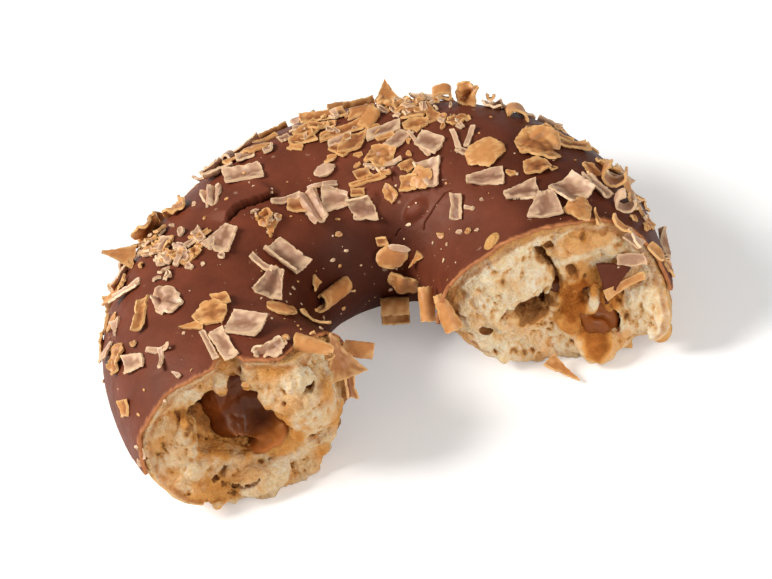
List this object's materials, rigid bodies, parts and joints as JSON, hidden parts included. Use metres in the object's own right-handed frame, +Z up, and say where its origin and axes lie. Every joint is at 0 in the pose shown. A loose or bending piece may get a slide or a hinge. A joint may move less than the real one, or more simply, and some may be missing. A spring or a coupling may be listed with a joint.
{
  "type": "bitten doughnut",
  "caption": "Chocolate-coated ring doughnut bitten to a C shape, with airy crumb and caramel filling open at the ragged ends.",
  "frame": {"origin": "middle of the bounding box, on the plane that the doughnut's flat foot rests on", "axes": "+Z up; the eaten side and both bitten faces look towards -Y; +X runs across the doughnut from the left bite to the right one"},
  "size_m": [0.0904, 0.066, 0.0276],
  "materials": {
    "crumb": "open cream crumb inside, thin golden-brown fried crust outside",
    "chocolate": "satin milk chocolate with a soft sheen",
    "caramel": "glossy sticky amber caramel",
    "golden_shavings": "caramel-flavoured chocolate shavings, satin",
    "pale_shavings": "pale milk chocolate shavings, satin with light broken edges"
  },
  "bodies": {
    "root": {"dough": "crumb", "chocolate_coat": "chocolate", "caramel_filling": "caramel"}
  },
  "joints": []
}
